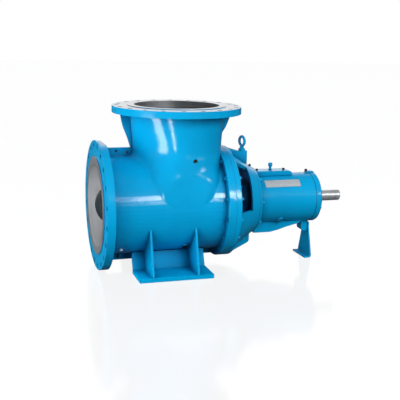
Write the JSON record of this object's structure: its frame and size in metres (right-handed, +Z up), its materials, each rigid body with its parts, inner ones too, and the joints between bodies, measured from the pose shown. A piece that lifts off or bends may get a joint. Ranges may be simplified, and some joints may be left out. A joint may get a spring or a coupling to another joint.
{
  "type": "axial flow pump",
  "caption": "Horizontal axial flow pump with an end suction flange, a top discharge flange, a bearing bracket and a free shaft end on casing feet and a support foot",
  "frame": {"origin": "At floor level, below the shaft line, midway between the suction face and the shaft end", "axes": "X runs along the shaft, its plus end towards the drive; Z is up, the way the discharge flange faces; the near side of the picture is minus Y"},
  "size_m": [1.6104, 0.78, 0.9895],
  "materials": {
    "suction_flange_paint": "glossy azure blue paint",
    "discharge_flange_paint": "glossy azure blue paint",
    "casing_barrel_paint": "glossy azure blue paint",
    "discharge_branch_paint": "glossy azure blue paint",
    "suction_side_rib_paint": "glossy azure blue paint",
    "drive_side_gusset_paint": "glossy azure blue paint",
    "bottom_rib_paint": "glossy azure blue paint",
    "rear_flange_paint": "glossy azure blue paint",
    "casing_cover_paint": "glossy azure blue paint",
    "bearing_bracket_paint": "glossy azure blue paint",
    "bracket_lifting_lug_paint": "glossy azure blue paint",
    "bracket_bottom_rib_paint": "glossy azure blue paint",
    "inner_bearing_cover_paint": "glossy azure blue paint",
    "lifting_eye_paint": "glossy azure blue paint",
    "bearing_housing_paint": "glossy azure blue paint",
    "bearing_end_cover_paint": "glossy azure blue paint",
    "housing_top_pad_paint": "glossy azure blue paint",
    "housing_sump_paint": "glossy azure blue paint",
    "end_cover_boss_paint": "glossy azure blue paint",
    "breather_paint": "glossy azure blue paint",
    "oil_level_boss_paint": "glossy azure blue paint",
    "support_lug_paint": "glossy azure blue paint",
    "support_foot_paint": "glossy azure blue paint",
    "foot_plate_near_paint": "glossy azure blue paint",
    "foot_plate_far_paint": "glossy azure blue paint",
    "foot_web_near_paint": "glossy azure blue paint",
    "foot_web_far_paint": "glossy azure blue paint",
    "foot_rib_near_1_paint": "glossy azure blue paint",
    "foot_rib_near_2_paint": "glossy azure blue paint",
    "foot_rib_far_1_paint": "glossy azure blue paint",
    "foot_rib_far_2_paint": "glossy azure blue paint",
    "drain_boss_paint": "glossy azure blue paint",
    "throat_ring_iron": "machined bare iron",
    "seal_gland_iron": "dark bare iron",
    "nameplate_metal": "bare silver plate, left blank",
    "gauge_plug_iron": "dark plug",
    "shaft_steel": "ground bright steel",
    "impeller_hub_iron": "dark gunmetal casting",
    "impeller_blade_1_iron": "machined grey casting",
    "impeller_blade_2_iron": "machined grey casting",
    "impeller_blade_3_iron": "machined grey casting",
    "impeller_blade_4_iron": "machined grey casting"
  },
  "bodies": {
    "pump_body": {"suction_flange": "suction_flange_paint", "discharge_flange": "discharge_flange_paint", "casing_barrel": "casing_barrel_paint", "discharge_branch": "discharge_branch_paint", "suction_side_rib": "suction_side_rib_paint", "drive_side_gusset": "drive_side_gusset_paint", "bottom_rib": "bottom_rib_paint", "rear_flange": "rear_flange_paint", "casing_cover": "casing_cover_paint", "bearing_bracket": "bearing_bracket_paint", "bracket_lifting_lug": "bracket_lifting_lug_paint", "bracket_bottom_rib": "bracket_bottom_rib_paint", "inner_bearing_cover": "inner_bearing_cover_paint", "lifting_eye": "lifting_eye_paint", "bearing_housing": "bearing_housing_paint", "bearing_end_cover": "bearing_end_cover_paint", "housing_top_pad": "housing_top_pad_paint", "housing_sump": "housing_sump_paint", "end_cover_boss": "end_cover_boss_paint", "breather": "breather_paint", "oil_level_boss": "oil_level_boss_paint", "support_lug": "support_lug_paint", "support_foot": "support_foot_paint", "foot_plate_near": "foot_plate_near_paint", "foot_plate_far": "foot_plate_far_paint", "foot_web_near": "foot_web_near_paint", "foot_web_far": "foot_web_far_paint", "foot_rib_near_1": "foot_rib_near_1_paint", "foot_rib_near_2": "foot_rib_near_2_paint", "foot_rib_far_1": "foot_rib_far_1_paint", "foot_rib_far_2": "foot_rib_far_2_paint", "drain_boss": "drain_boss_paint", "throat_ring": "throat_ring_iron", "seal_gland": "seal_gland_iron", "nameplate": "nameplate_metal", "gauge_plug": "gauge_plug_iron"},
    "rotor": {"shaft": "shaft_steel", "impeller_hub": "impeller_hub_iron", "impeller_blade_1": "impeller_blade_1_iron", "impeller_blade_2": "impeller_blade_2_iron", "impeller_blade_3": "impeller_blade_3_iron", "impeller_blade_4": "impeller_blade_4_iron"}
  },
  "joints": [
    {"name": "shaft_spin", "type": "hinge", "parent": "pump_body", "child": "rotor", "pos_m": [0, 0, 0.3905], "axis": [1, 0, 0], "continuous": true}
  ]
}
